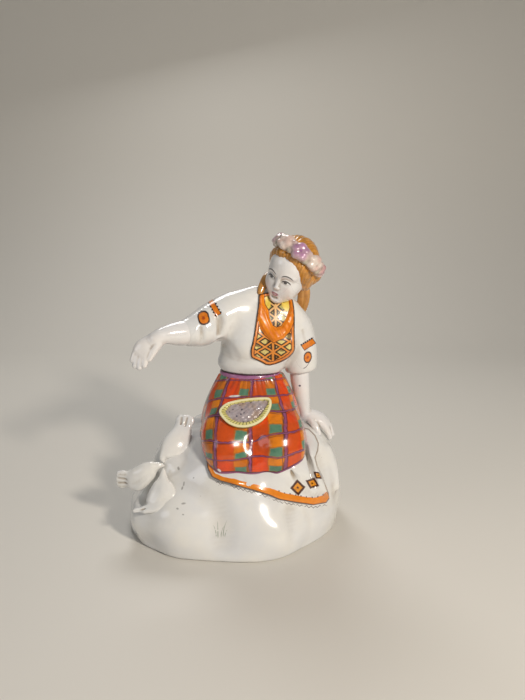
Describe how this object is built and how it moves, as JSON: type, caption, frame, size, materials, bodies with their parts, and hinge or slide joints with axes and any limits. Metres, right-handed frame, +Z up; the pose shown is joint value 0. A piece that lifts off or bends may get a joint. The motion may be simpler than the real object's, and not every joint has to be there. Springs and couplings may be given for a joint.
{
  "type": "porcelain figurine",
  "caption": "Glazed porcelain figurine of a seated woman in a plaid wrap skirt and flower wreath, leaning on one hand on a rocky mound and feeding doves.",
  "frame": {"origin": "on the table plane, under the middle of the mound's flat foot", "axes": "+Z up, -Y towards the viewer that the figure faces, +X towards the hand she leans on"},
  "size_m": [0.109, 0.085, 0.1406],
  "materials": {
    "white_glaze": "glossy transparent glaze",
    "skin_glaze": "glossy transparent glaze",
    "dove_glaze": "glossy transparent glaze",
    "plaid_enamel": "glossy transparent glaze",
    "purple_enamel": "glossy transparent glaze",
    "lattice_enamel": "glossy transparent glaze",
    "orange_enamel": "glossy transparent glaze",
    "hair_enamel": "glossy transparent glaze",
    "wreath_enamel": "glossy transparent glaze",
    "petal_pink": "glossy transparent glaze",
    "petal_purple": "glossy transparent glaze",
    "dish_enamel": "glossy transparent glaze",
    "grain_enamel": "glossy transparent glaze"
  },
  "bodies": {
    "root": {"mound": "white_glaze", "skirt": "plaid_enamel", "underskirt": "white_glaze", "torso": "white_glaze", "waistband": "purple_enamel", "breast_panel": "lattice_enamel", "neck": "skin_glaze", "head": "skin_glaze", "hair": "hair_enamel", "wreath": "wreath_enamel", "sleeve_right": "white_glaze", "forearm_right": "skin_glaze", "hand_right": "skin_glaze", "sleeve_left": "white_glaze", "forearm_left": "skin_glaze", "hand_left": "skin_glaze", "dish": "dish_enamel", "grain": "grain_enamel", "necklace": "orange_enamel", "ribbon_left": "hair_enamel", "ribbon_right": "hair_enamel", "blossom_1": "petal_pink", "blossom_2": "petal_purple", "blossom_3": "petal_pink", "blossom_4": "petal_pink", "blossom_5": "petal_purple", "blossom_6": "petal_pink", "blossom_7": "petal_pink", "blossom_8": "petal_purple", "blossom_9": "petal_pink", "dove_upper": "dove_glaze", "dove_upper_tail": "dove_glaze", "dove_upper_wing_near": "dove_glaze", "dove_upper_wing_far": "dove_glaze", "dove_left": "dove_glaze", "dove_left_tail": "dove_glaze", "dove_left_wing_near": "dove_glaze", "dove_left_wing_far": "dove_glaze", "dove_front": "dove_glaze", "dove_front_tail": "dove_glaze", "dove_front_wing_near": "dove_glaze", "dove_front_wing_far": "dove_glaze"}
  },
  "joints": []
}
